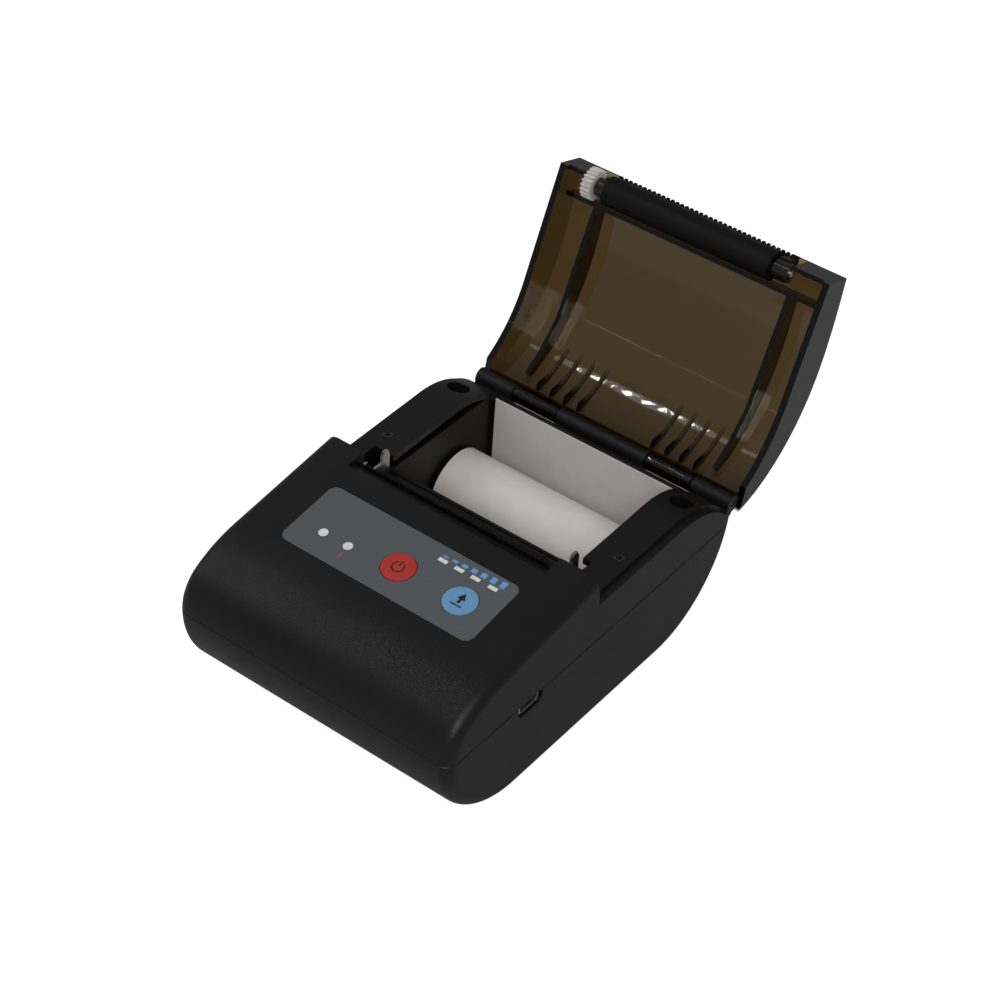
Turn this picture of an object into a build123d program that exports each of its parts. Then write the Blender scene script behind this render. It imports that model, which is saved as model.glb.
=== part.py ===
from build123d import *
import os
from math import atan2, cos, degrees, radians, sin

# Portable receipt printer with its smoked cover open, in millimetres.
# X runs across the paper, Y from the rounded nose to the hinge, Z up from the feet.

# Case
case_width = 84.0
nose_y = -79.6
foot_height = 0.5
wall = 1.8
edge_radius = 3.4
parting_z = 27.2
nose_reach = 28.0
nose_knee = (8.33, 8.18)
nose_crown = (6.35, 38.31)
tail_start = 88.0
tail_knee = (108.36, 8.6)
tail_tip = (118.13, 28.44)
tail_way = (0.1016, 0.9948)
top_slope = 8.3
block_rear = 56.2
block_rear_z = 48.4
block_front = 20.0
ledge_front_z = 39.1
ledge_z = 39.9
ledge_bend = 92.0
ledge_width = 2.2
rail_rise = 1.2

# Hinge of the cover, one steel pin through five knuckles
hinge_y = nose_y + 118.7
hinge_z = 31.7
hinge_radius = 2.4
hinge_pin_radius = 0.8
hinge_play = 0.05
knuckle_inner = 14.4
knuckle_outer = 28.8
knuckle_end = 41.0
knuckle_gap = 0.2
open_angle = 114.0

# Cover, drawn shut, with the hinge axis as its origin
lid_wall = 1.8
lid_gap = 0.3
tip_reach = 61.9
tip_height = 16.9
bracket_half = 28.4
seat_reach = 57.0
rib_x = 30.5
rib_thickness = 1.2
gusset_xs = (12.0, 16.5, 21.0, 25.5)

# Paper bin and roll
bin_half = 29.7
bin_wall = 1.0
bin_front = 66.5
bin_rear = 110.3
roll_radius = 11.0
roll_width = 57.0
roll_y = nose_y + 93.2
roll_z = 15.7
core_radius = 6.2
core_bore = 5.2
sheet_thickness = 0.3

# Print mechanism
platen_reach = 58.2
platen_height = 11.5
platen_radius = 4.1
platen_left = -27.6
platen_right = 24.4
shaft_radius = 1.25
bearing_radius = 2.5
gear_left = -34.2
gear_width = 2.9
tooth_module = 0.4
platen_teeth = 20
idler_teeth = 26
pinion_teeth = 10
mesh_slack = 0.15
plate_left = -30.8
plate_right = 28.6
plate_thickness = 0.8
motor_radius = 6.6
motor_length = 12.0
tear_pitch = 1.5
tear_half = 28.5

# Front panel, laid in the sloping top
label_half = 29.2
label_front = 22.4
label_length = 21.3
label_corner = 2.5
label_depth = 0.5
label_sheet = 0.4
button_radius = 4.45
button_play = 0.15
button_proud = 0.3
power_x = 1.0
feed_x = 19.5
power_v = 9.2
feed_v = 9.4
lamp_radius = 1.25
lamp_xs = (-20.9, -13.2)
lamp_v = 7.35
window_xs = (8.3, 13.2, 18.1, 23.3)
window_v = 17.1
window_size = (2.6, 1.1)

# Screws
screw_x = 35.5
screw_rear = 101.6
screw_front = 47.5
screw_well = 3.1
screw_radius = 1.25
screw_clearance = 1.45
boss_radius = 4.0
rear_seat_z = 29.5
front_seat_z = 17.8
seam_groove = 0.25

# Boards and the charging socket
board_z = 22.6
board_thickness = 1.6
standoff_x = 36.5
standoff_ys = (14.0, 41.0)
standoff_radius = 2.6
board_drop = 5.85
usb_y = nose_y + 31.4
usb_notch = (9.4, 3.6)
usb_corner = 1.1
battery_size = (40.0, 41.0, 15.0)

# Underside: battery door and rubber feet
door_size = (45.0, 46.0)
door_y = 43.0
door_rebate_depth = 0.9
pad_width = 10.3
pad_depth = 1.2
pad_top = 11.0
pad_end = 32.0
front_pad_x = 28.4
rear_pad_x = 30.0
rear_pad_y = 80.0
rear_pad_length = 16.0

# Throat, wells and bay of the upper case
upper_inner = 38.8
ramp_half = 30.5
ramp_front = 50.2
ramp_end_z = 45.8
ramp_under = 44.8
tear_y = 53.6
deck_front = 56.6
bay_front = 67.5
well_left = -36.0
well_right = 32.4
bin_corner = 9.0
bin_top = 36.5
tail_top = 35.7
mark_x = 36.4
mark_y = 73.2

case_half = case_width / 2
slope = radians(top_slope)
closed_platen = (hinge_y - platen_reach, hinge_z + platen_height)
case_knuckles = (
    (-knuckle_end, -knuckle_outer - knuckle_gap),
    (-knuckle_inner + knuckle_gap, knuckle_inner - knuckle_gap),
    (knuckle_outer + knuckle_gap, knuckle_end),
)
lid_knuckles = (
    (-knuckle_outer + knuckle_gap, -knuckle_inner - knuckle_gap),
    (knuckle_inner + knuckle_gap, knuckle_outer - knuckle_gap),
)


def hinge_relative(distance):
    """Distance from the nose turned into distance from the hinge axis."""
    return nose_y + distance - hinge_y


def at(distance, height):
    """A point of the side view, its distance measured back from the nose."""
    return (nose_y + distance, height)


def top_height(distance):
    """Height of the block's sloping top at a distance from the nose."""
    return block_rear_z - (block_rear - distance) * sin(slope) / cos(slope)


def case_outline(shrink=0.0, rail=0.0):
    """Side view of the case, drawn flat; rail lifts the deck behind the block above the ledge."""
    step_height = block_rear_z - ledge_front_z - rail
    step_foot = block_rear + step_height * sin(slope) / cos(slope)
    with BuildSketch(Plane.XY) as profile:
        with BuildLine():
            Line(at(nose_reach, foot_height), at(tail_start, foot_height))
            TangentArc(at(tail_start, foot_height), at(*tail_knee), tangent=(1, 0))
            TangentArc(at(*tail_tip), at(*tail_knee), tangent=(-tail_way[0], -tail_way[1]))
            deck_end = (116.0, 29.3 + rail)
            Line(at(*tail_tip), at(*deck_end))
            ThreePointArc(
                at(*deck_end),
                at(106.0, 37.2 + rail),
                at(ledge_bend, ledge_z + rail),
            )
            Line(
                at(ledge_bend, ledge_z + rail),
                at(step_foot, ledge_front_z + rail),
            )
            Line(
                at(step_foot, ledge_front_z + rail),
                at(block_rear, block_rear_z),
            )
            Line(
                at(block_rear, block_rear_z),
                at(block_front, top_height(block_front)),
            )
            TangentArc(
                at(block_front, top_height(block_front)),
                at(*nose_crown),
                tangent=(-cos(slope), -sin(slope)),
            )
            TangentArc(at(0, parting_z), at(*nose_crown), tangent=(0, 1))
            TangentArc(at(0, parting_z), at(*nose_knee), tangent=(0, -1))
            TangentArc(at(nose_reach, foot_height), at(*nose_knee), tangent=(-1, 0))
        make_face()
        if shrink:
            offset(amount=-shrink, kind=Kind.INTERSECTION)
    return profile.sketch


def case_profile(shrink=0.0, rail=0.0):
    """The case's side view, standing in its place."""
    with BuildSketch(Plane.YZ) as placed:
        add(case_outline(shrink, rail))
    return placed.sketch


def box_profile(low, high, x=0.0):
    """A rectangle of the side view, standing at x."""
    with BuildSketch(Plane.YZ.offset(x)) as placed:
        add(box_outline(low, high))
    return placed.sketch


def box_outline(low, high):
    """A rectangle of the side view between two corners, drawn flat."""
    with BuildSketch(Plane.XY) as profile:
        with Locations(((low[0] + high[0]) / 2, (low[1] + high[1]) / 2)):
            Rectangle(high[0] - low[0], high[1] - low[1])
    return profile.sketch


def side_outline(plane, points):
    """A closed polygon of the side view."""
    with BuildSketch(plane) as profile:
        with BuildLine():
            Polyline(*points, close=True)
        make_face()
    return profile.sketch


def gear_outline(plane, teeth, tooth_angle, bore):
    """A spur gear's outline with one tooth centred on tooth_angle."""
    pitch = tooth_module * teeth / 2
    root = pitch - 1.15 * tooth_module
    tip = pitch + 0.85 * tooth_module
    step = 360 / teeth
    shape = ((-0.30, root), (-0.115, tip), (0.115, tip), (0.30, root))
    points = []
    for tooth in range(teeth):
        for share, radius in shape:
            angle = radians(tooth_angle + (tooth + share) * step)
            points.append((radius * cos(angle), radius * sin(angle)))
    with BuildSketch(plane) as outline:
        with BuildLine():
            Polyline(*points, close=True)
        make_face()
        if bore:
            Circle(bore, mode=Mode.SUBTRACT)
    return outline.sketch


def side_plane(x, y, z):
    """A plane across X with its origin at the given place."""
    return Plane(origin=(x, y, z), x_dir=(0, 1, 0), z_dir=(1, 0, 0))


# The open cover's own side view: origin on the hinge axis, drawn as if shut
swing = radians(-open_angle)
lid_side = Plane(
    origin=(0, hinge_y, hinge_z),
    x_dir=(0, cos(swing), sin(swing)),
    z_dir=(1, 0, 0),
)

# The block's sloping top: origin on the label's front edge, local Y up the slope
label_plane = Plane(
    origin=(0, nose_y + label_front, top_height(label_front)),
    x_dir=(1, 0, 0),
    z_dir=(0, -sin(slope), cos(slope)),
)


# Plane of the bracket's serrated edge: local X across, local Y from the tip towards the hinge
tip_plane = Plane(
    origin=lid_side.from_local_coords((-62.0, 16.3)),
    x_dir=(1, 0, 0),
    z_dir=(0, -sin(swing), cos(swing)),
)

def platen_plane(x):
    """A plane across the platen's axis at x."""
    return Plane(
        origin=lid_side.offset(x).from_local_coords((-platen_reach, platen_height)),
        x_dir=lid_side.x_dir,
        z_dir=(1, 0, 0),
    )


# Gear train: the platen gear comes down on the idler as the cover shuts
reach_angle = atan2(platen_height, -platen_reach)
mesh_angle = degrees(reach_angle) + 90
platen_to_idler = tooth_module * (platen_teeth + idler_teeth) / 2 + mesh_slack
idler_place = (
    closed_platen[0] + platen_to_idler * cos(radians(mesh_angle)),
    closed_platen[1] + platen_to_idler * sin(radians(mesh_angle)),
)
idler_step = 360 / idler_teeth
idler_tooth = mesh_angle - 180 + idler_step / 2
pinion_angle = mesh_angle - 180 + 11 * idler_step
idler_to_pinion = tooth_module * (idler_teeth + pinion_teeth) / 2 + mesh_slack
pinion_place = (
    idler_place[0] + idler_to_pinion * cos(radians(pinion_angle)),
    idler_place[1] + idler_to_pinion * sin(radians(pinion_angle)),
)
pinion_tooth = pinion_angle - 180
pinion_shaft = 0.75

# Case block: the full outside of both shells, rounded along the sides
with BuildPart() as case_block:
    extrude(case_profile(rail=rail_rise), amount=case_half, both=True)
    step_y = nose_y + block_rear + 0.2
    for side in (case_block.faces().sort_by(Axis.X)[0], case_block.faces().sort_by(Axis.X)[-1]):
        rounded = side.edges().filter_by(
            lambda edge: edge.center().Y < step_y or edge.center().Z < parting_z - 1
        )
        fillet(rounded, edge_radius)
    # Ledge outside the rails, where the cover's side walls come to rest
    for start in (case_half - ledge_width, -case_half - 1):
        with BuildSketch(Plane.YZ.offset(start)) as above_ledge:
            add(box_outline(at(block_rear - 1, parting_z), at(tail_tip[0] + 4, block_rear_z + 9)))
            add(case_outline(), mode=Mode.SUBTRACT)
        extrude(amount=ledge_width + 1, mode=Mode.SUBTRACT)

rear_screws = [(side * screw_x, nose_y + screw_rear) for side in (-1, 1)]
front_screws = [(side * screw_x, nose_y + screw_front) for side in (-1, 1)]
floor_z = foot_height + wall

# Lower case: everything below the parting line, open above, with full-height screw bosses
with BuildPart() as lower_cavity:
    extrude(case_profile(shrink=wall), amount=case_half - wall, both=True)
    with BuildSketch(Plane.XY) as bosses:
        with Locations(*rear_screws, *front_screws):
            Circle(boss_radius)
    extrude(amount=parting_z + 20, mode=Mode.SUBTRACT)
    with BuildSketch(Plane.XY) as standoffs:
        with Locations(*[(side * standoff_x, nose_y + y) for side in (-1, 1) for y in standoff_ys]):
            Circle(standoff_radius)
    extrude(amount=board_z, mode=Mode.SUBTRACT)

with BuildPart() as lower_case:
    add(case_block.part)
    split(bisect_by=Plane.XY.offset(parting_z), keep=Keep.BOTTOM)
    chamfer(lower_case.faces().sort_by(Axis.Z)[-1].outer_wire().edges(), seam_groove)
    add(lower_cavity.part, mode=Mode.SUBTRACT)
    # Charging socket's opening, under the parting line on the right
    with BuildSketch(Plane.YZ.offset(case_half - wall - 1)) as usb_cut:
        with Locations((usb_y, parting_z - usb_notch[1] / 2 + 1)):
            Rectangle(usb_notch[0], usb_notch[1] + 2)
        chamfer(usb_cut.vertices().group_by(Axis.Y)[0], usb_corner)
    extrude(amount=wall + 2, mode=Mode.SUBTRACT)
    # Pilot holes for the rear screws, wells and clearance for the front ones
    with Locations(*[(x, y, parting_z) for x, y in rear_screws]):
        Hole(screw_radius, depth=parting_z - 12)
    with Locations(*[(x, y, parting_z) for x, y in front_screws]):
        Hole(screw_clearance)
    with BuildSketch(Plane.XY) as wells:
        with Locations(*front_screws):
            Circle(screw_well)
    extrude(amount=front_seat_z, mode=Mode.SUBTRACT)
    # Battery door: a hole in the floor with a rebate round it
    with BuildSketch(Plane.XY) as door_rebate:
        with Locations((0, nose_y + door_y)):
            RectangleRounded(door_size[0], door_size[1], 3)
    extrude(amount=foot_height + door_rebate_depth, mode=Mode.SUBTRACT)
    with BuildSketch(Plane.XY) as door_hole:
        with Locations((0, nose_y + door_y)):
            RectangleRounded(door_size[0] - 4, door_size[1] - 4, 2)
    extrude(amount=floor_z + 0.5, mode=Mode.SUBTRACT)
    # Pockets for the four rubber feet; the front pair run up the curve of the nose
    for side in (-1, 1):
        with BuildSketch(Plane.YZ.offset(side * front_pad_x - pad_width / 2)) as pad_pocket:
            add(box_outline(at(-2, -2), at(pad_end, pad_top)))
            add(case_outline(shrink=pad_depth), mode=Mode.SUBTRACT)
        extrude(amount=pad_width, mode=Mode.SUBTRACT)
    with BuildSketch(Plane.XY) as rear_pockets:
        with Locations(*[(side * rear_pad_x, nose_y + rear_pad_y) for side in (-1, 1)]):
            SlotOverall(rear_pad_length, pad_width)
    extrude(amount=foot_height + pad_depth, mode=Mode.SUBTRACT)
lower_case.part.label = "lower_case"

# Upper case: the front block with its panel, the rails and the deck round the paper bay
with BuildPart() as upper_cavity:
    extrude(case_profile(shrink=wall, rail=rail_rise), amount=upper_inner, both=True)
    with BuildSketch(Plane.XY.offset(parting_z)) as bosses:
        with Locations(*rear_screws, *front_screws):
            Circle(boss_radius)
    extrude(amount=40, mode=Mode.SUBTRACT)
    # Material left under the ramp in front of the tear bar
    add(
        extrude(
            side_outline(
                Plane.YZ,
                [at(47.5, 49), at(47.5, 45.4), at(52.0, ramp_under), at(tear_y, ramp_under), at(tear_y, 49)],
            ),
            amount=ramp_half + 1,
            both=True,
            mode=Mode.PRIVATE,
        ),
        mode=Mode.SUBTRACT,
    )

with BuildPart() as upper_case:
    add(case_block.part)
    split(bisect_by=Plane.XY.offset(parting_z), keep=Keep.TOP)
    chamfer(upper_case.faces().sort_by(Axis.Z)[0].outer_wire().edges(), seam_groove)
    add(upper_cavity.part, mode=Mode.SUBTRACT)
    # Ramp down to the tear bar, and the throat behind it
    throat = [
        at(ramp_front, top_height(ramp_front) + 0.01),
        at(tear_y, ramp_end_z),
        at(tear_y, 20),
        at(60, 20),
        at(60, 52),
        at(ramp_front, 52),
    ]
    extrude(side_outline(Plane.YZ, throat), amount=ramp_half, both=True, mode=Mode.SUBTRACT)
    # Wells beside the print mechanism; the left one takes the platen gear
    with BuildSketch(Plane.XY.offset(parting_z - 1)) as gear_well:
        with Locations(((well_right + well_left) / 2, nose_y + (deck_front + bay_front) / 2)):
            Rectangle(well_right - well_left, bay_front - deck_front)
    extrude(amount=30, mode=Mode.SUBTRACT)
    with BuildSketch(Plane.XY.offset(parting_z - 1)) as gear_notch:
        with Locations(((well_left - ramp_half) / 2, nose_y + (deck_front + tear_y + 1) / 2)):
            Rectangle(-ramp_half - well_left, deck_front - tear_y - 1 + 0.4)
    extrude(amount=top_height(deck_front) - wall - 1 - parting_z, mode=Mode.SUBTRACT)
    # Paper bay
    with BuildSketch(Plane.XY.offset(parting_z - 1)) as bay:
        with Locations((0, nose_y + (bay_front - 2 + bin_rear - bin_wall) / 2)):
            Rectangle(bin_half * 2, bin_rear - bin_wall - bay_front + 2)
        fillet(bay.vertices().group_by(Axis.Y)[-1], 1)
    extrude(amount=30, mode=Mode.SUBTRACT)
    # Screw wells in the rails and pilot holes under the block
    with Locations(*[(x, y, 50) for x, y in rear_screws]):
        Hole(screw_well, depth=50 - rear_seat_z)
        Hole(screw_clearance)
    with BuildSketch(Plane.XY.offset(parting_z - 1)) as pilots:
        with Locations(*front_screws):
            Circle(screw_radius)
    extrude(amount=12, mode=Mode.SUBTRACT)
    # Recess of the panel label, with the holes of its buttons, lamps and windows
    with BuildSketch(label_plane) as label_recess:
        with Locations((0, label_length / 2)):
            RectangleRounded(2 * label_half, label_length, label_corner)
    extrude(amount=-label_depth, mode=Mode.SUBTRACT)
    with BuildSketch(label_plane) as panel_holes:
        with Locations((power_x, power_v), (feed_x, feed_v)):
            Circle(button_radius + button_play)
        with Locations(*[(x, lamp_v) for x in lamp_xs]):
            Circle(lamp_radius)
        with Locations(*[(x, window_v) for x in window_xs]):
            Rectangle(*window_size)
    extrude(amount=-wall - 1, mode=Mode.SUBTRACT)
    # Posts that carry the button board under the panel
    with BuildSketch(label_plane.offset(-board_drop)) as posts:
        with Locations(*[(side * 27, v) for side in (-1, 1) for v in (2.5, 18.5)]):
            Circle(1.5)
    extrude(amount=board_drop - wall + 0.3)
    # Small diamond marks on the rails
    with BuildSketch(Plane.XY.offset(ledge_z + rail_rise - 0.5)) as marks:
        with Locations(*[(side * mark_x, nose_y + mark_y) for side in (-1, 1)]):
            Rectangle(1.2, 1.2, rotation=45)
    extrude(amount=0.6)
    # Case knuckles of the hinge, with webs down to the rear wall
    for low, high in case_knuckles:
        extrude(
            side_outline(
                Plane.YZ.offset(low),
                [at(116.5, 31.2), at(118.7, 31.7), at(119.0, 29.7), at(117.9, 28.2), at(115.6, 29.2)],
            ),
            amount=high - low,
        )
        with BuildSketch(side_plane(low, hinge_y, hinge_z)) as knuckle:
            Circle(hinge_radius)
        extrude(amount=high - low)
    with BuildSketch(side_plane(-knuckle_end, hinge_y, hinge_z)) as pin_bore:
        Circle(hinge_pin_radius)
    extrude(amount=2 * knuckle_end, mode=Mode.SUBTRACT)
upper_case.part.label = "upper_case"

# Paper bin: a thin trough that follows the case round the back of the roll
def bin_outline(inset=0.0):
    """Side view of the bin, drawn flat, with its deck-high top still closed."""
    with BuildSketch(Plane.XY) as profile:
        add(case_outline(shrink=wall + 0.1 + inset, rail=rail_rise))
        add(box_outline(at(bin_front + inset, 0), at(bin_rear - inset, 60)), mode=Mode.INTERSECT)
        fillet(profile.vertices().group_by(Axis.X)[0].sort_by(Axis.Y)[0], bin_corner - inset)
    return profile.sketch


def stand_up(outline, x=0.0):
    """A flat side view, stood up at x."""
    with BuildSketch(Plane.YZ.offset(x)) as placed:
        add(outline)
    return placed.sketch


bin_back = bin_rear - bin_wall
with BuildPart() as paper_bin:
    extrude(stand_up(bin_outline()), amount=bin_half + bin_wall, both=True)
    extrude(stand_up(bin_outline(bin_wall)), amount=bin_half, both=True, mode=Mode.SUBTRACT)
    extrude(
        box_profile(at(bin_front + bin_wall, 20), at(bin_back, 60)),
        amount=bin_half,
        both=True,
        mode=Mode.SUBTRACT,
    )
    extrude(
        box_profile(at(bin_front - 1, bin_top), at(bin_rear + 1, 60)),
        amount=bin_half + 5,
        both=True,
        mode=Mode.SUBTRACT,
    )
    # Two pads stand it on the case floor
    for x in (-22.0, 22.0):
        with Locations((x, nose_y + 80, floor_z + 0.2)):
            Box(8, 12, 0.4)
paper_bin.part.label = "paper_bin"

# Loose end of the paper, standing against the back of the bin
with BuildPart() as paper_tail:
    with BuildSketch(Plane.YZ) as tail_band:
        add(bin_outline(bin_wall + 0.1))
        add(bin_outline(bin_wall + 0.1 + sheet_thickness), mode=Mode.SUBTRACT)
        add(box_outline(at(98, 0), at(bin_back, 22)), mode=Mode.INTERSECT)
        add(box_outline(at(bin_back - 0.1 - sheet_thickness, 21), at(bin_back - 0.1, tail_top)))
    extrude(amount=roll_width / 2, both=True)
paper_tail.part.label = "paper_tail"

# Rubber feet: the front pair follow the nose's curve, the rear pair are flat pads
with BuildPart() as rubber_feet:
    for side in (-1, 1):
        with BuildSketch(Plane.YZ.offset(side * front_pad_x - pad_width / 2 + 0.1)) as pad_band:
            add(case_outline(shrink=0.25))
            add(case_outline(shrink=pad_depth), mode=Mode.SUBTRACT)
            add(box_outline(at(-2, -2), at(pad_end - 0.1, pad_top - 0.2)), mode=Mode.INTERSECT)
        extrude(amount=pad_width - 0.2)
        extrude(
            side_outline(
                Plane.YZ.offset(side * front_pad_x - pad_width / 2 + 0.1),
                [at(24, 1.5), at(25, 0), at(pad_end - 1.1, 0), at(pad_end - 0.1, 1.5)],
            ),
            amount=pad_width - 0.2,
        )
    with BuildSketch(Plane.XY) as rear_pads:
        with Locations(*[(side * rear_pad_x, nose_y + rear_pad_y) for side in (-1, 1)]):
            SlotOverall(rear_pad_length - 0.2, pad_width - 0.2)
    extrude(amount=foot_height + pad_depth)
rubber_feet.part.label = "rubber_feet"

# Battery door, flush with the underside, with a thumb groove
with BuildPart() as battery_door:
    with BuildSketch(Plane.XY.offset(foot_height)) as door_plate:
        with Locations((0, nose_y + door_y)):
            RectangleRounded(door_size[0] - 0.3, door_size[1] - 0.3, 2.9)
    extrude(amount=door_rebate_depth)
    with BuildSketch(Plane.XY.offset(foot_height + door_rebate_depth)) as door_plug:
        with Locations((0, nose_y + door_y)):
            RectangleRounded(door_size[0] - 4.3, door_size[1] - 4.3, 1.9)
    extrude(amount=floor_z - foot_height - door_rebate_depth)
    with BuildSketch(Plane.XY.offset(foot_height)) as thumb_groove:
        with Locations((0, nose_y + door_y - door_size[1] / 2 + 5)):
            SlotOverall(16, 3.4)
    extrude(amount=0.7, mode=Mode.SUBTRACT)
battery_door.part.label = "battery_door"

# Battery pack of two flat cells in a sleeve, lying on the door
with BuildPart() as battery_pack:
    with Locations((0, nose_y + door_y, floor_z + battery_size[2] / 2)):
        Box(*battery_size)
    fillet(battery_pack.edges().filter_by(Axis.Y), 3)
battery_pack.part.label = "battery_pack"

# Main board on its stand-offs, with the charging socket at the right edge
with BuildPart() as main_board:
    with BuildSketch(Plane.XY.offset(board_z)) as board_shape:
        with Locations((0, nose_y + 26)):
            RectangleRounded(75, 33.6, 2)
    extrude(amount=board_thickness)
main_board.part.label = "main_board"

with BuildPart() as board_parts:
    with BuildSketch(Plane.XY.offset(board_z + board_thickness)) as chips:
        with Locations((-12, nose_y + 24), (10, nose_y + 20)):
            Rectangle(12, 12)
        with Locations((-30, nose_y + 26)):
            Rectangle(7, 14)
        with Locations((24, nose_y + 36)):
            Rectangle(12, 5)
    extrude(amount=1.6)
board_parts.part.label = "board_chips"

with BuildPart() as usb_socket:
    with BuildSketch(Plane.YZ.offset(36.2)) as socket_shape:
        with Locations((usb_y, board_z + board_thickness + 1.3)):
            Rectangle(7.6, 2.6)
        chamfer(socket_shape.vertices().group_by(Axis.Y)[0], 0.6)
    extrude(amount=5.2)
    with BuildSketch(Plane.YZ.offset(37.2)) as socket_mouth:
        with Locations((usb_y, board_z + board_thickness + 1.3)):
            Rectangle(6.8, 1.8)
        chamfer(socket_mouth.vertices().group_by(Axis.Y)[0], 0.5)
    extrude(amount=5, mode=Mode.SUBTRACT)
    with BuildSketch(Plane.YZ.offset(37.2)) as socket_tongue:
        with Locations((usb_y, board_z + board_thickness + 1.55)):
            Rectangle(4.6, 0.6)
    extrude(amount=3.6)
usb_socket.part.label = "usb_socket"

# Button board under the panel, with its two switches and six lamps
with BuildPart() as button_board:
    with BuildSketch(label_plane.offset(-board_drop - 1.2)) as button_board_shape:
        with Locations((0, label_length / 2)):
            Rectangle(60, label_length)
    extrude(amount=1.2)
button_board.part.label = "button_board"

with BuildPart() as tact_switches:
    with BuildSketch(label_plane.offset(-board_drop)) as switch_bases:
        with Locations((power_x, power_v), (feed_x, feed_v)):
            Rectangle(6, 6)
    extrude(amount=1.5)
    with BuildSketch(label_plane.offset(-board_drop + 1.5)) as switch_tops:
        with Locations((power_x, power_v), (feed_x, feed_v)):
            Circle(1.7)
    extrude(amount=0.5)
tact_switches.part.label = "tact_switches"

with BuildPart() as status_lamps:
    with BuildSketch(label_plane.offset(-board_drop)) as lamp_chips:
        with Locations(*[(x, lamp_v) for x in lamp_xs], *[(x, window_v) for x in window_xs]):
            Rectangle(2.0, 1.2)
    extrude(amount=0.6)
status_lamps.part.label = "status_lamps"

# Light guides: two round lamps and four bars of the charge gauge, flush with the label
with BuildPart() as light_guides:
    with BuildSketch(label_plane.offset(-board_drop + 0.6)) as guides:
        with Locations(*[(x, lamp_v) for x in lamp_xs]):
            Circle(lamp_radius)
        with Locations(*[(x, window_v) for x in window_xs]):
            Rectangle(*window_size)
    extrude(amount=board_drop - 0.6 - label_depth + label_sheet + 0.05)
light_guides.part.label = "light_guides"

# Grey label sheet glued in its recess
with BuildPart() as panel_label:
    with BuildSketch(label_plane.offset(-label_depth)) as label_sheet_shape:
        with Locations((0, label_length / 2)):
            RectangleRounded(2 * label_half - 0.2, label_length - 0.2, label_corner - 0.1)
        with Locations((power_x, power_v), (feed_x, feed_v)):
            Circle(button_radius + button_play, mode=Mode.SUBTRACT)
        with Locations(*[(x, lamp_v) for x in lamp_xs]):
            Circle(lamp_radius, mode=Mode.SUBTRACT)
        with Locations(*[(x, window_v) for x in window_xs]):
            Rectangle(*window_size, mode=Mode.SUBTRACT)
    extrude(amount=label_sheet)
panel_label.part.label = "panel_label"


def push_button(x, v):
    """A round key with a flange that stops it under the panel and a stem over its switch."""
    with BuildPart() as button:
        with BuildSketch(label_plane.offset(-wall - 0.1)) as cap:
            with Locations((x, v)):
                Circle(button_radius)
        extrude(amount=wall + 0.1 - label_depth + label_sheet + button_proud)
        fillet(button.edges().group_by(Axis.Z)[-1], 0.25)
        with BuildSketch(label_plane.offset(-wall - 0.7)) as flange:
            with Locations((x, v)):
                Circle(button_radius + 0.7)
        extrude(amount=0.6)
        with BuildSketch(label_plane.offset(-board_drop + 2.5)) as stem:
            with Locations((x, v)):
                Circle(1.4)
        extrude(amount=board_drop - 2.5 - wall - 0.6)
    return button.part


power_button = push_button(power_x, power_v)
power_button.label = "power_button"
feed_button = push_button(feed_x, feed_v)
feed_button.label = "feed_button"

# Steel frame of the print mechanism: a channel with a bearing notch in each cheek
frame_floor = 20.7
frame_rear = 66.2
frame_front = 46.2
prong_top = 43.6
notch_z = closed_platen[1]
notch_y = closed_platen[0] - nose_y
notch_half = bearing_radius + 0.45
with BuildPart() as mechanism_frame:
    extrude(
        box_profile(at(frame_front, frame_floor), at(frame_rear, frame_floor + plate_thickness), plate_left),
        amount=plate_right + plate_thickness - plate_left,
    )
    extrude(
        box_profile(at(frame_front, frame_floor), at(frame_front + plate_thickness, 40.5), plate_left),
        amount=plate_right + plate_thickness - plate_left,
    )
    for low in (plate_left, plate_right):
        cheek = [
            at(frame_front, frame_floor),
            at(frame_rear, frame_floor),
            at(frame_rear, prong_top - 1.6),
            at(frame_rear - 0.7, prong_top),
            at(notch_y + notch_half + 0.5, prong_top),
            at(notch_y + notch_half, prong_top - 0.8),
            at(notch_y + notch_half, notch_z - 2.9),
            at(notch_y - notch_half, notch_z - 2.9),
            at(notch_y - notch_half, prong_top + 0.6),
            at(notch_y - notch_half - 1.3, prong_top + 0.6),
            at(53.2, 38.5),
            at(frame_front, 38.5),
        ]
        extrude(side_outline(Plane.YZ.offset(low), cheek), amount=plate_thickness)
    with BuildSketch(side_plane(plate_left, *idler_place)) as idler_hole:
        Circle(1.0)
    extrude(amount=plate_thickness, mode=Mode.SUBTRACT)
    with BuildSketch(side_plane(plate_left, *pinion_place)) as motor_hole:
        Circle(1.0)
    extrude(amount=plate_thickness, mode=Mode.SUBTRACT)
mechanism_frame.part.label = "mechanism_frame"

# Guide that carries the paper from the bin over to the platen
with BuildPart() as paper_guide:
    guide = [
        at(56.9, 36.2),
        at(66.2, 33.0),
        at(66.2, 36.4),
        at(64.5, 37.6),
        at(60.5, 38.4),
        at(56.9, 38.4),
    ]
    extrude(
        side_outline(Plane.YZ.offset(plate_left + plate_thickness), guide),
        amount=plate_right - plate_left - plate_thickness,
    )
    for rib in range(11):
        with BuildSketch(Plane.YZ.offset(-28.0 + rib * 5.1)) as groove:
            add(box_outline(at(56, 37.8), at(64.2, 40)))
        extrude(amount=3.9, mode=Mode.SUBTRACT)
paper_guide.part.label = "paper_guide"

# Print head, its heat sink and the leaf springs that press it back against the platen
with BuildPart() as print_head:
    extrude(box_profile(at(55.1, 36.2), at(56.0, 44.7), -26.0), amount=50.0)
    extrude(box_profile(at(56.0, 42.6), at(56.1, 43.4), -25.0), amount=48.0)
print_head.part.label = "print_head"

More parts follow.
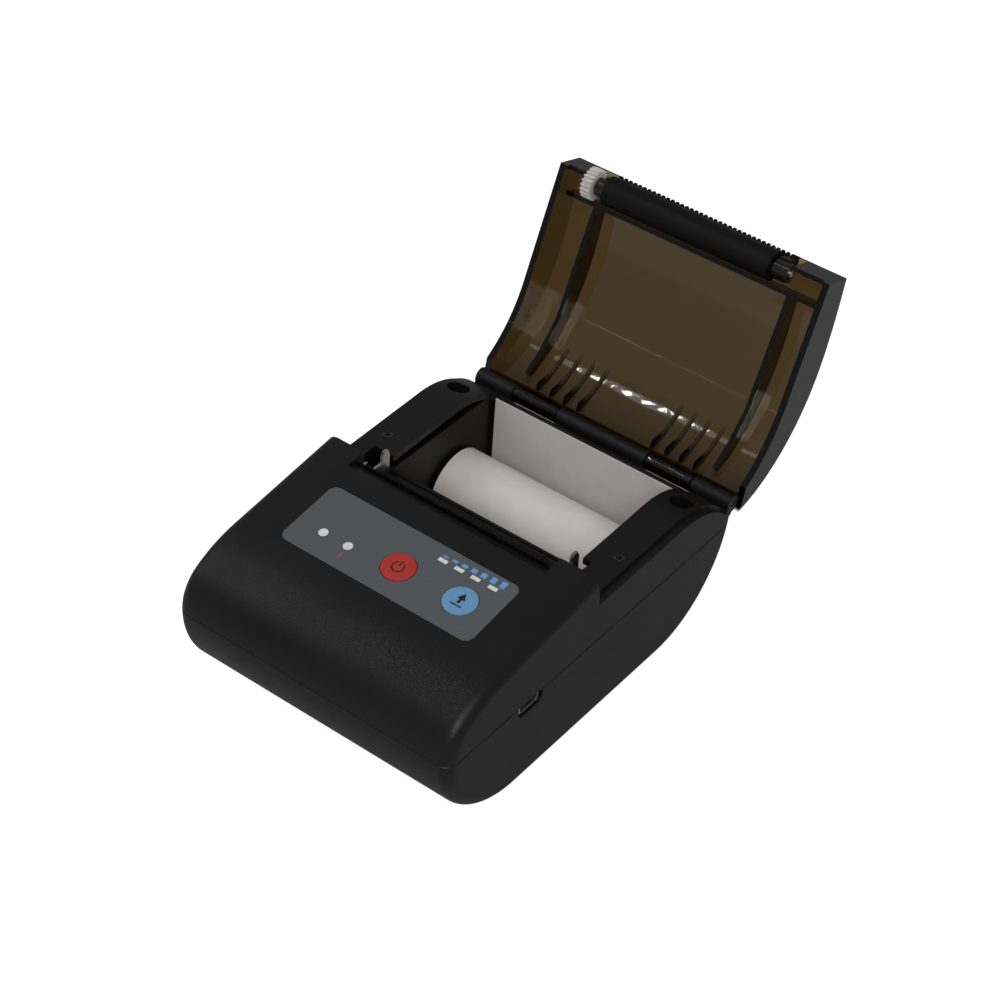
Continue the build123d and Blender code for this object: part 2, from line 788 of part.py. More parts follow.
with BuildPart() as heat_sink:
    extrude(box_profile(at(53.3, 35.6), at(55.1, 44.6), -26.4), amount=50.8)
    for fin in range(6):
        extrude(box_profile(at(52.1, 36.4 + fin * 1.5), at(53.3, 37.0 + fin * 1.5), -26.4), amount=50.8)
heat_sink.part.label = "heat_sink"

with BuildPart() as head_springs:
    for x in (-17.0, -1.0, 15.0):
        extrude(
            side_outline(
                Plane.YZ.offset(x - 2.5),
                [at(47.0, 33), at(47.3, 33), at(47.3, 38.0), at(53.3, 40.5), at(53.3, 40.9), at(47.0, 38.3)],
            ),
            amount=5,
        )
head_springs.part.label = "head_springs"

# Serrated tear bar along the edge of the ramp
with BuildPart() as tear_bar:
    extrude(
        box_profile(at(tear_y, 44.9), at(tear_y + 0.9, 46.2), -ramp_half + 0.1),
        amount=2 * ramp_half - 0.2,
    )
    teeth = int(2 * tear_half / tear_pitch)
    with BuildSketch(Plane.XZ.offset(-nose_y - tear_y)) as tear_teeth:
        with BuildLine():
            zigzag = [(-tear_half, 46.1)]
            for tooth in range(teeth):
                zigzag.append((-tear_half + (tooth + 0.5) * tear_pitch, 47.3))
                zigzag.append((-tear_half + (tooth + 1) * tear_pitch, 46.2))
            zigzag.append((zigzag[-1][0], 46.0))
            zigzag.append((-tear_half, 46.0))
            Polyline(*zigzag, close=True)
        make_face()
    extrude(amount=-0.9)
tear_bar.part.label = "tear_bar"

# Stepper motor on the left cheek, with the pinion on its shaft
with BuildPart() as stepper_motor:
    with BuildSketch(side_plane(plate_left + plate_thickness, *pinion_place)) as motor_can:
        Circle(motor_radius)
    extrude(amount=motor_length)
    fillet(stepper_motor.edges().filter_by(GeomType.CIRCLE), 0.6)
    with BuildSketch(side_plane(plate_left + plate_thickness, *pinion_place)) as motor_bore:
        Circle(pinion_shaft + 0.05)
    extrude(amount=5, mode=Mode.SUBTRACT)
stepper_motor.part.label = "stepper_motor"

with BuildPart() as motor_pinion:
    extrude(
        gear_outline(side_plane(gear_left, *pinion_place), pinion_teeth, pinion_tooth, 0),
        amount=gear_width - 0.2,
    )
    with BuildSketch(side_plane(gear_left, *pinion_place)) as pinion_spindle:
        Circle(pinion_shaft)
    extrude(amount=plate_left + plate_thickness - gear_left + 4.5)
motor_pinion.part.label = "motor_pinion"

with BuildPart() as idler_gear:
    extrude(
        gear_outline(side_plane(gear_left, *idler_place), idler_teeth, idler_tooth, 1.05),
        amount=gear_width - 0.2,
    )
idler_gear.part.label = "idler_gear"

with BuildPart() as idler_axle:
    with BuildSketch(side_plane(gear_left - 0.9, *idler_place)) as axle_head:
        Circle(1.8)
    extrude(amount=0.7)
    with BuildSketch(side_plane(gear_left - 0.2, *idler_place)) as axle_shank:
        Circle(1.0)
    extrude(amount=plate_left + plate_thickness - gear_left + 0.2)
idler_axle.part.label = "idler_axle"

# Self-tapping screws: two down the wells of the rails, two up from the underside
with BuildPart() as case_screws:
    rear_set = (rear_screws, rear_seat_z, 1, 15.0)
    front_set = (front_screws, front_seat_z, -1, 18.0)
    for places, seat, way, length in (rear_set, front_set):
        with BuildSketch(Plane.XY.offset(seat)) as heads:
            with Locations(*places):
                Circle(2.5)
        extrude(amount=way * 1.7)
        with BuildSketch(Plane.XY.offset(seat + way * 1.7)) as crosses:
            with Locations(*places):
                Rectangle(2.8, 0.5)
                Rectangle(0.5, 2.8)
        extrude(amount=-way * 0.9, mode=Mode.SUBTRACT)
        with BuildSketch(Plane.XY.offset(seat)) as shanks:
            with Locations(*places):
                Circle(screw_radius)
        extrude(amount=-way * length)
case_screws.part.label = "case_screws"

# Hinge pin
with BuildPart() as hinge_pin:
    with BuildSketch(side_plane(-knuckle_end + 0.3, hinge_y, hinge_z)) as pin_round:
        Circle(hinge_pin_radius)
    extrude(amount=2 * knuckle_end - 0.6)
hinge_pin.part.label = "hinge_pin"

# Paper roll on its core
with BuildPart() as paper_roll:
    with BuildSketch(side_plane(-roll_width / 2, roll_y, roll_z)) as roll_ring:
        Circle(roll_radius)
        Circle(core_radius, mode=Mode.SUBTRACT)
    extrude(amount=roll_width)
paper_roll.part.label = "paper_roll"

with BuildPart() as paper_core:
    with BuildSketch(side_plane(-roll_width / 2, roll_y, roll_z)) as core_ring:
        Circle(core_radius)
        Circle(core_bore, mode=Mode.SUBTRACT)
    extrude(amount=roll_width)
paper_core.part.label = "paper_core"


def lid_outline():
    """Side view of the shut cover, drawn flat with the hinge axis as its origin."""
    with BuildSketch(Plane.XY) as profile:
        with BuildLine():
            Spline((-tip_reach, tip_height), (-44, 20.5), (-26, 20.6), (-10, 14.7), (2.3, 2.6))
            Polyline((2.3, 2.6), (0.5, 3.2), (-3.0, 2.6), (-4.6, 2.2))
            rear_bend = (hinge_relative(ledge_bend), ledge_z - hinge_z + lid_gap)
            ThreePointArc((-4.6, 2.2), (-12.7, 6.3), rear_bend)
            Line(rear_bend, (-tip_reach + 1.25, ledge_front_z - hinge_z + lid_gap))
            Line((-tip_reach + 1.25, ledge_front_z - hinge_z + lid_gap), (-tip_reach, tip_height))
        make_face()
    return profile.sketch


def lid_hollow():
    """Side view of the room under the shut cover, one wall's thickness inside its skin."""
    with BuildSketch(Plane.XY) as profile:
        with BuildLine():
            Spline((-60.1, 15.4), (-44, 18.7), (-26.3, 18.8), (-11.1, 13.2), (-1.8, 4.6))
            Polyline((-1.8, 4.6), (-1.6, -8), (-58.4, -8), (-60.1, 15.4))
        make_face()
    return profile.sketch


def on_lid(x, outline):
    """A flat outline laid in the cover's side view at x."""
    with BuildSketch(lid_side.offset(x)) as placed:
        add(outline)
    return placed.sketch


def lid_polygon(x, points):
    """A polygon laid in the cover's side view at x."""
    return side_outline(lid_side.offset(x), points)


# Smoked cover: a curved shell with side walls, ribs inside and two hinge knuckles
with BuildPart() as lid_cavity:
    extrude(on_lid(0, lid_hollow()), amount=case_half - lid_wall, both=True)

with BuildPart() as lid_skin:
    extrude(on_lid(0, lid_outline()), amount=case_half, both=True)

with BuildPart() as lid_ribs:
    for x in (-rib_x - rib_thickness / 2, rib_x - rib_thickness / 2):
        rib = [(-53.4, 12.5), (-20, 12.2), (-11, 9.0), (-4.5, 5.2), (-2, 10), (-10, 22), (-53.4, 22)]
        extrude(lid_polygon(x, rib), amount=rib_thickness)
    extrude(
        lid_polygon(0, [(-53.4, 12.5), (-52.2, 12.5), (-52.2, 22), (-53.4, 22)]),
        amount=case_half - lid_wall,
        both=True,
    )
    # Short gussets either side of the knuckles stiffen the back edge
    for x in gusset_xs:
        for side in (-1, 1):
            gusset = [(-6.8, 9.4), (-4.0, 4.4), (-1.5, 4.4), (-2, 10), (-8, 16), (-13.5, 20), (-13.5, 14.5)]
            extrude(lid_polygon(side * x - 0.5, gusset), amount=1.0)
    add(lid_skin.part, mode=Mode.INTERSECT)

with BuildPart() as lid:
    add(lid_skin.part)
    add(lid_cavity.part, mode=Mode.SUBTRACT)
    add(lid_ribs.part)
    # Seat of the roller bracket along the tip, and room for the gear and bearings
    extrude(
        lid_polygon(-bracket_half, [(-64, 0), (-seat_reach, 0), (-seat_reach, 24), (-64, 24)]),
        amount=2 * bracket_half,
        mode=Mode.SUBTRACT,
    )
    extrude(
        lid_polygon(gear_left - 1.2, [(-64, 0), (-59, 0), (-59, 15.95), (-64, 15.95)]),
        amount=30.6 - gear_left + 1.2,
        mode=Mode.SUBTRACT,
    )
    # Between its side walls the front lip stops above the rails
    lip_z = ledge_front_z + rail_rise + 0.4 - hinge_z
    extrude(
        lid_polygon(0, [(-64, 0), (-57.5, 0), (-57.5, lip_z), (-64, lip_z)]),
        amount=case_half - ledge_width + 0.1,
        both=True,
        mode=Mode.SUBTRACT,
    )
    with BuildSketch(platen_plane(gear_left - 1.2)) as gear_room:
        Circle(4.9)
    extrude(amount=gear_width + 1.7, mode=Mode.SUBTRACT)
    # Knuckles on the pin
    for low, high in lid_knuckles:
        extrude(
            lid_polygon(low, [(-1.4, 1.2), (1.6, 1.2), (2.2, 2.7), (1.6, 3.6), (-0.6, 4.6), (-1.8, 3.6)]),
            amount=high - low,
        )
        with BuildSketch(side_plane(low, hinge_y, hinge_z)) as lid_knuckle:
            Circle(hinge_radius)
        extrude(amount=high - low)
    with BuildSketch(side_plane(-knuckle_end, hinge_y, hinge_z)) as lid_bore:
        Circle(hinge_pin_radius + hinge_play)
    extrude(amount=2 * knuckle_end, mode=Mode.SUBTRACT)
lid.part.label = "lid"

# Black bracket along the tip: a serrated edge between the ears and two lugs for the bearings
with BuildPart() as roller_bracket:
    extrude(
        lid_polygon(
            -bracket_half + 0.1,
            [(-62.0, 15.95), (-62.0, 16.7), (-seat_reach, 18.3), (-seat_reach, 16.0)],
        ),
        amount=2 * bracket_half - 0.2,
    )
    for low, high, top in ((-29.6, -27.9, 15.6), (-28.3, -27.9, 16.5), (25.0, 28.2, 16.5)):
        lug = [
            (-61.2, platen_height),
            (-55.2, platen_height),
            (-55.2, 15.4),
            (-seat_reach, 15.4),
            (-seat_reach, top),
            (-61.2, top),
        ]
        extrude(lid_polygon(low, lug), amount=high - low)
    for low, high in ((-30, -27), (24, 29)):
        with BuildSketch(platen_plane(low)) as lug_bore:
            Circle(bearing_radius)
        extrude(amount=high - low, mode=Mode.SUBTRACT)
    notch_depth = 1.0
    for tooth in range(int(2 * bracket_half / tear_pitch) - 1):
        centre = -bracket_half + 1.4 + tooth * tear_pitch
        with BuildSketch(tip_plane) as notch:
            with BuildLine():
                Polyline(
                    (centre - 0.55, -0.2),
                    (centre + 0.55, -0.2),
                    (centre, notch_depth),
                    close=True,
                )
            make_face()
        extrude(amount=3, both=True, mode=Mode.SUBTRACT)
roller_bracket.part.label = "roller_bracket"


def bearing(low, high):
    """A plain bush in its lug."""
    with BuildPart() as bush:
        with BuildSketch(platen_plane(low)) as ring:
            Circle(bearing_radius)
            Circle(shaft_radius + 0.05, mode=Mode.SUBTRACT)
        extrude(amount=high - low)
    return bush.part


left_bearing = bearing(-30.9, -27.9)
left_bearing.label = "left_bearing"
right_bearing = bearing(24.7, 29.5)
right_bearing.label = "right_bearing"

# Platen: steel shaft, rubber sleeve and the white drive gear
with BuildPart() as platen_shaft:
    with BuildSketch(platen_plane(gear_left - 0.3)) as shaft_round:
        Circle(shaft_radius)
    extrude(amount=30.3 - gear_left + 0.3)
    chamfer(platen_shaft.edges().filter_by(GeomType.CIRCLE), 0.25)
platen_shaft.part.label = "platen_shaft"

with BuildPart() as platen_rubber:
    with BuildSketch(platen_plane(platen_left)) as rubber_ring:
        Circle(platen_radius)
        Circle(shaft_radius, mode=Mode.SUBTRACT)
    extrude(amount=platen_right - platen_left)
platen_rubber.part.label = "platen_rubber"

with BuildPart() as platen_gear:
    extrude(
        gear_outline(platen_plane(gear_left), platen_teeth, mesh_angle, shaft_radius),
        amount=gear_width,
    )
platen_gear.part.label = "platen_gear"

os.makedirs("parts", exist_ok=True)
export_step(lower_case.part, "parts/lower_case.step")
export_step(upper_case.part, "parts/upper_case.step")
export_step(paper_bin.part, "parts/paper_bin.step")
export_step(paper_tail.part, "parts/paper_tail.step")
export_step(rubber_feet.part, "parts/rubber_feet.step")
export_step(battery_door.part, "parts/battery_door.step")
export_step(battery_pack.part, "parts/battery_pack.step")
export_step(main_board.part, "parts/main_board.step")
export_step(board_parts.part, "parts/board_chips.step")
export_step(usb_socket.part, "parts/usb_socket.step")
export_step(button_board.part, "parts/button_board.step")
export_step(tact_switches.part, "parts/tact_switches.step")
export_step(status_lamps.part, "parts/status_lamps.step")
export_step(light_guides.part, "parts/light_guides.step")
export_step(panel_label.part, "parts/panel_label.step")
export_step(power_button, "parts/power_button.step")
export_step(feed_button, "parts/feed_button.step")
export_step(mechanism_frame.part, "parts/mechanism_frame.step")
export_step(paper_guide.part, "parts/paper_guide.step")
export_step(print_head.part, "parts/print_head.step")
export_step(heat_sink.part, "parts/heat_sink.step")
export_step(head_springs.part, "parts/head_springs.step")
export_step(tear_bar.part, "parts/tear_bar.step")
export_step(stepper_motor.part, "parts/stepper_motor.step")
export_step(motor_pinion.part, "parts/motor_pinion.step")
export_step(idler_gear.part, "parts/idler_gear.step")
export_step(idler_axle.part, "parts/idler_axle.step")
export_step(case_screws.part, "parts/case_screws.step")
export_step(hinge_pin.part, "parts/hinge_pin.step")
export_step(paper_roll.part, "parts/paper_roll.step")
export_step(paper_core.part, "parts/paper_core.step")
export_step(lid.part, "parts/lid.step")
export_step(roller_bracket.part, "parts/roller_bracket.step")
export_step(left_bearing, "parts/left_bearing.step")
export_step(right_bearing, "parts/right_bearing.step")
export_step(platen_shaft.part, "parts/platen_shaft.step")
export_step(platen_rubber.part, "parts/platen_rubber.step")
export_step(platen_gear.part, "parts/platen_gear.step")
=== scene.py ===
import math

import bpy
from mathutils import Matrix, Vector


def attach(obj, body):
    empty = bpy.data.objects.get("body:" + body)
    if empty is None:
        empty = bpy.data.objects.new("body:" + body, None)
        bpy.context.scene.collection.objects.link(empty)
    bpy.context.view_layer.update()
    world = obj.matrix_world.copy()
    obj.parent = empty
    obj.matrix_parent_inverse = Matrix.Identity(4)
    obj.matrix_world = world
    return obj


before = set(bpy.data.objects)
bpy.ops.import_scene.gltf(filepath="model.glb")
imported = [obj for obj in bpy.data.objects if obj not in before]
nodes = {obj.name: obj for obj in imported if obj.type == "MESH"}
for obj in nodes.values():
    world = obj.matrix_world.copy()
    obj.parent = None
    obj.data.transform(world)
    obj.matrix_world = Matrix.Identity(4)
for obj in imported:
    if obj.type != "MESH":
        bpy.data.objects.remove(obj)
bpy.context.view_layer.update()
scene = bpy.context.scene
mm = 0.001
print("frame loaded:", len(nodes), "nodes")


def linear(hexColour):
    # sRGB hex to the linear values that sockets want
    channels = [int(hexColour[i:i + 2], 16) / 255 for i in (1, 3, 5)]
    return [c / 12.92 if c <= 0.04045 else ((c + 0.055) / 1.055) ** 2.4 for c in channels] + [1.0]


def addNode(tree, kind, settings=None, links=None):
    # one node with its settings and links; a source given as a node is read at its first output
    node = tree.nodes.new(kind)
    for key, value in (settings or {}).items():
        if key == "stops":
            band = node.color_ramp.elements
            for i, (place, colour) in enumerate(value):
                stop = band[i] if i < 2 else band.new(place)
                stop.position = place
                stop.color = linear(colour)
        elif isinstance(key, str) and hasattr(node, key):
            setattr(node, key, value)
        else:
            node.inputs[key].default_value = value
    for key, source in (links or {}).items():
        tree.links.new(getattr(source, "outputs", [source])[0], node.inputs[key])
    return node


def newMaterial(name, shader):
    # a material with its Principled shader set, its tree, and the piece's own coordinates
    material = bpy.data.materials.new(name)
    material.use_nodes = True
    tree = material.node_tree
    bsdf = tree.nodes["Principled BSDF"]
    for key, value in shader.items():
        bsdf.inputs[key].default_value = linear(value) if isinstance(value, str) else value
    place = addNode(tree, "ShaderNodeTexCoord").outputs["Object"]
    return material, tree, bsdf, place


def feed(tree, bsdf, sources):
    for key, source in sources.items():
        tree.links.new(source.outputs[0], bsdf.inputs[key])


def mouldedAbs(name, look):
    # injection moulded ABS off a spark-eroded tool: an even fine grain, dulled unevenly by handling
    size = {"cloud": 14, "smear": 5}
    shader = {"IOR": 1.53, "Specular IOR Level": look["gloss"]}
    material, tree, bsdf, place = newMaterial(name, shader)
    cloud = addNode(tree, "ShaderNodeTexNoise", {"Scale": 1 / (size["cloud"] * mm), "Detail": 3.0},
                    {"Vector": place})
    colour = addNode(tree, "ShaderNodeValToRGB",
                     {"stops": [(0.3, look["dark"]), (0.7, look["light"])]}, {"Fac": cloud})
    smear = addNode(tree, "ShaderNodeTexNoise", {"Scale": 1 / (size["smear"] * mm), "Detail": 4.0},
                    {"Vector": place})
    rough = addNode(tree, "ShaderNodeMapRange",
                    {"To Min": look["rough"] - 0.05, "To Max": look["rough"] + 0.06},
                    {"Value": smear})
    grain = addNode(tree, "ShaderNodeTexNoise", {"Scale": 1 / (look["grain"] * mm), "Detail": 1.0},
                    {"Vector": place})
    relief = addNode(tree, "ShaderNodeBump", {"Distance": look["depth"] * mm}, {"Height": grain})
    feed(tree, bsdf, {"Base Color": colour, "Roughness": rough, "Normal": relief})
    return material


def smokedPolycarbonate():
    # clear polycarbonate dyed brown and moulded glossy: about 4 % of the light gets through a
    # wall, and thick places go black
    look = {"through": "#44361f", "wall": 1.8, "wave": 11, "waveDepth": 0.0015, "waveStrength": 0.4}
    material, tree, bsdf, place = newMaterial(
        "smokedPolycarbonate",
        {"Base Color": "#ffffff", "IOR": 1.5, "Transmission Weight": 1.0, "Roughness": 0.03},
    )
    loss = [-math.log(c) / (look["wall"] * mm) for c in linear(look["through"])[:3]]
    most = max(loss)
    keeps = [1 - part / most for part in loss] + [1.0]
    dye = addNode(tree, "ShaderNodeVolumeAbsorption", {"Color": keeps, "Density": most})
    tree.links.new(dye.outputs[0], tree.nodes["Material Output"].inputs["Volume"])
    wave = addNode(tree, "ShaderNodeTexNoise", {"Scale": 1 / (look["wave"] * mm), "Detail": 1.0},
                   {"Vector": place})
    relief = addNode(tree, "ShaderNodeBump",
                     {"Strength": look["waveStrength"], "Distance": look["waveDepth"] * mm},
                     {"Height": wave})
    feed(tree, bsdf, {"Normal": relief})
    return material


def thermalPaper():
    # coated thermal paper: matt off-white with a soft fibre cloud
    look = {"shade": "#b6b1ad", "light": "#c2bdb9", "cloud": 6, "fibre": 0.35, "depth": 0.012}
    shader = {"IOR": 1.45, "Roughness": 0.65, "Specular IOR Level": 0.2}
    material, tree, bsdf, place = newMaterial("thermalPaper", shader)
    cloud = addNode(tree, "ShaderNodeTexNoise",
                    {"Scale": 1 / (look["cloud"] * mm), "Detail": 5.0, "Roughness": 0.6},
                    {"Vector": place})
    colour = addNode(tree, "ShaderNodeValToRGB",
                     {"stops": [(0.25, look["shade"]), (0.8, look["light"])]}, {"Fac": cloud})
    fibre = addNode(tree, "ShaderNodeTexNoise", {"Scale": 1 / (look["fibre"] * mm), "Detail": 2.0},
                    {"Vector": place})
    relief = addNode(tree, "ShaderNodeBump", {"Distance": look["depth"] * mm}, {"Height": fibre})
    feed(tree, bsdf, {"Base Color": colour, "Normal": relief})
    return material


def rolledPaper():
    # the same paper wound up: rings on its ends, 0.4 mm apart because the 0.06 mm sheet
    # wouldn't show
    # its colours are a little lighter than the tail's: painted light, for the roll being lit from
    # above
    look = {"shade": "#bbb6b2", "light": "#c6c1bd", "cloud": 6, "ring": 0.4, "depth": 0.02,
            "rollY": 13.6, "rollZ": 15.7}
    shader = {"IOR": 1.45, "Roughness": 0.65, "Specular IOR Level": 0.2}
    material, tree, bsdf, place = newMaterial("rolledPaper", shader)
    cloud = addNode(tree, "ShaderNodeTexNoise",
                    {"Scale": 1 / (look["cloud"] * mm), "Detail": 5.0, "Roughness": 0.6},
                    {"Vector": place})
    colour = addNode(tree, "ShaderNodeValToRGB",
                     {"stops": [(0.25, look["shade"]), (0.8, look["light"])]}, {"Fac": cloud})
    centre = (0, -look["rollY"] * mm, -look["rollZ"] * mm)
    centred = addNode(tree, "ShaderNodeMapping", {"Location": centre, "Scale": (0.0, 1.0, 1.0)},
                      {"Vector": place})
    reach = addNode(tree, "ShaderNodeVectorMath", {"operation": "LENGTH"}, {0: centred})
    turns = addNode(tree, "ShaderNodeMath",
                    {"operation": "MULTIPLY", 1: 2 * math.pi / (look["ring"] * mm)},
                    {0: reach.outputs["Value"]})
    rings = addNode(tree, "ShaderNodeMath", {"operation": "SINE"}, {0: turns})
    relief = addNode(tree, "ShaderNodeBump", {"Distance": look["depth"] * mm}, {"Height": rings})
    feed(tree, bsdf, {"Base Color": colour, "Normal": relief})
    return material


def groundNitrile():
    # nitrile rubber ground round on a lathe: near black and matt, with faint lines round it
    look = {"colour": "#0a0a0b", "line": 4, "squeeze": 12.0, "depth": 0.02}
    shader = {"Base Color": look["colour"], "IOR": 1.52, "Specular IOR Level": 0.15}
    material, tree, bsdf, place = newMaterial("groundNitrile", shader)
    squeezed = addNode(tree, "ShaderNodeMapping", {"Scale": (look["squeeze"], 1.0, 1.0)},
                       {"Vector": place})
    lines = addNode(tree, "ShaderNodeTexNoise", {"Scale": 1 / (look["line"] * mm), "Detail": 3.0},
                    {"Vector": squeezed})
    rough = addNode(tree, "ShaderNodeMapRange", {"To Min": 0.46, "To Max": 0.62}, {"Value": lines})
    relief = addNode(tree, "ShaderNodeBump", {"Distance": look["depth"] * mm}, {"Height": lines})
    feed(tree, bsdf, {"Roughness": rough, "Normal": relief})
    return material


def mouldedSilicone():
    # compression moulded silicone feet: black, dull and a little dusty
    look = {"bare": "#121212", "dusty": "#201f1f", "dust": 1.6, "pit": 0.3, "depth": 0.02}
    shader = {"IOR": 1.42, "Roughness": 0.75, "Specular IOR Level": 0.3}
    material, tree, bsdf, place = newMaterial("mouldedSilicone", shader)
    dust = addNode(tree, "ShaderNodeTexNoise", {"Scale": 1 / (look["dust"] * mm), "Detail": 4.0},
                   {"Vector": place})
    colour = addNode(tree, "ShaderNodeValToRGB",
                     {"stops": [(0.35, look["bare"]), (0.8, look["dusty"])]}, {"Fac": dust})
    pits = addNode(tree, "ShaderNodeTexNoise", {"Scale": 1 / (look["pit"] * mm), "Detail": 1.0},
                   {"Vector": place})
    relief = addNode(tree, "ShaderNodeBump", {"Distance": look["depth"] * mm}, {"Height": pits})
    feed(tree, bsdf, {"Base Color": colour, "Normal": relief})
    return material


def brushedMetal(name, look):
    # sheet or bar metal, plated or bare: bright, drawn along X in fine lines
    size = {"line": 0.25, "cloud": 4, "depth": 0.01}
    material, tree, bsdf, place = newMaterial(name, {"Metallic": 1.0})
    drawn = addNode(tree, "ShaderNodeMapping", {"Scale": (0.08, 1.0, 1.0)}, {"Vector": place})
    lines = addNode(tree, "ShaderNodeTexNoise", {"Scale": 1 / (size["line"] * mm), "Detail": 3.0},
                    {"Vector": drawn})
    cloud = addNode(tree, "ShaderNodeTexNoise", {"Scale": 1 / (size["cloud"] * mm), "Detail": 3.0},
                    {"Vector": place})
    colour = addNode(tree, "ShaderNodeValToRGB",
                     {"stops": [(0.3, look["dark"]), (0.7, look["light"])]}, {"Fac": cloud})
    rough = addNode(tree, "ShaderNodeMapRange",
                    {"To Min": look["rough"] - 0.06, "To Max": look["rough"] + 0.1},
                    {"Value": lines})
    relief = addNode(tree, "ShaderNodeBump", {"Distance": size["depth"] * mm}, {"Height": lines})
    feed(tree, bsdf, {"Base Color": colour, "Roughness": rough, "Normal": relief})
    return material


def printedFilm(name, look):
    # screen print on polycarbonate film, or a key moulded in its colour: satin, evenly stippled
    size = {"speck": 0.4, "wear": 3, "depth": 0.01}
    material, tree, bsdf, place = newMaterial(name, {"IOR": 1.58, "Specular IOR Level": 0.3})
    speck = addNode(tree, "ShaderNodeTexNoise",
                    {"Scale": 1 / (size["speck"] * mm), "Detail": 3.0, "Roughness": 0.6},
                    {"Vector": place})
    colour = addNode(tree, "ShaderNodeValToRGB",
                     {"stops": [(0.25, look["dark"]), (0.75, look["light"])]}, {"Fac": speck})
    wear = addNode(tree, "ShaderNodeTexNoise", {"Scale": 1 / (size["wear"] * mm)},
                   {"Vector": place})
    rough = addNode(tree, "ShaderNodeMapRange",
                    {"To Min": look["rough"] - 0.04, "To Max": look["rough"] + 0.04},
                    {"Value": wear})
    relief = addNode(tree, "ShaderNodeBump", {"Distance": size["depth"] * mm}, {"Height": speck})
    feed(tree, bsdf, {"Base Color": colour, "Roughness": rough, "Normal": relief})
    return material


def milkyPlastic(name, look):
    # moulded acetal, acrylic or glaze: waxy, and light goes a little way in
    size = {"scatter": 0.6, "cloud": 2, "skin": 0.5, "depth": 0.01}
    shader = {"IOR": 1.48, "Specular IOR Level": 0.35, "Subsurface Weight": 0.15,
              "Subsurface Radius": (1.0, 0.9, 0.8), "Subsurface Scale": size["scatter"] * mm}
    material, tree, bsdf, place = newMaterial(name, shader)
    cloud = addNode(tree, "ShaderNodeTexNoise", {"Scale": 1 / (size["cloud"] * mm)},
                    {"Vector": place})
    colour = addNode(tree, "ShaderNodeValToRGB",
                     {"stops": [(0.3, look["dark"]), (0.7, look["light"])]}, {"Fac": cloud})
    rough = addNode(tree, "ShaderNodeMapRange",
                    {"To Min": look["rough"] - 0.05, "To Max": look["rough"] + 0.05},
                    {"Value": cloud})
    skin = addNode(tree, "ShaderNodeTexNoise", {"Scale": 1 / (size["skin"] * mm), "Detail": 1.0},
                   {"Vector": place})
    relief = addNode(tree, "ShaderNodeBump", {"Distance": size["depth"] * mm}, {"Height": skin})
    feed(tree, bsdf, {"Base Color": colour, "Roughness": rough, "Normal": relief})
    return material


def greenSolderMask():
    # glass-epoxy board under green solder mask: copper pours show as slightly darker cells
    look = {"mask": "#12502e", "pour": "#0b3a20", "cell": 4, "depth": 0.02}
    shader = {"IOR": 1.5, "Roughness": 0.32}
    material, tree, bsdf, place = newMaterial("greenSolderMask", shader)
    cells = addNode(tree, "ShaderNodeTexVoronoi",
                    {"distance": "CHEBYCHEV", "Scale": 1 / (look["cell"] * mm)}, {"Vector": place})
    colour = addNode(tree, "ShaderNodeValToRGB",
                     {"stops": [(0.2, look["mask"]), (0.75, look["pour"])]}, {"Fac": cells})
    relief = addNode(tree, "ShaderNodeBump", {"Distance": look["depth"] * mm}, {"Height": cells})
    feed(tree, bsdf, {"Base Color": colour, "Normal": relief})
    return material


def shrinkSleeve():
    # heat-shrunk PVC sleeve round the cells: thin, glossy, slightly wrinkled
    look = {"dark": "#1c2c58", "light": "#263a6d", "wrinkle": 5, "depth": 0.12}
    material, tree, bsdf, place = newMaterial("shrinkSleeve", {"IOR": 1.53, "Roughness": 0.25})
    wrinkle = addNode(tree, "ShaderNodeTexNoise",
                      {"Scale": 1 / (look["wrinkle"] * mm), "Detail": 4.0, "Roughness": 0.6},
                      {"Vector": place})
    colour = addNode(tree, "ShaderNodeValToRGB",
                     {"stops": [(0.3, look["dark"]), (0.8, look["light"])]}, {"Fac": wrinkle})
    relief = addNode(tree, "ShaderNodeBump", {"Distance": look["depth"] * mm}, {"Height": wrinkle})
    feed(tree, bsdf, {"Base Color": colour, "Normal": relief})
    return material


def cardCore():
    # spiral wound card tube: brown fibre, rough
    look = {"dark": "#7c6850", "light": "#9c8769", "fibre": 0.8, "depth": 0.03}
    shader = {"IOR": 1.4, "Roughness": 0.85, "Specular IOR Level": 0.2}
    material, tree, bsdf, place = newMaterial("cardCore", shader)
    fibre = addNode(tree, "ShaderNodeTexNoise",
                    {"Scale": 1 / (look["fibre"] * mm), "Detail": 5.0, "Roughness": 0.7},
                    {"Vector": place})
    colour = addNode(tree, "ShaderNodeValToRGB",
                     {"stops": [(0.25, look["dark"]), (0.8, look["light"])]}, {"Fac": fibre})
    relief = addNode(tree, "ShaderNodeBump", {"Distance": look["depth"] * mm}, {"Height": fibre})
    feed(tree, bsdf, {"Base Color": colour, "Normal": relief})
    return material


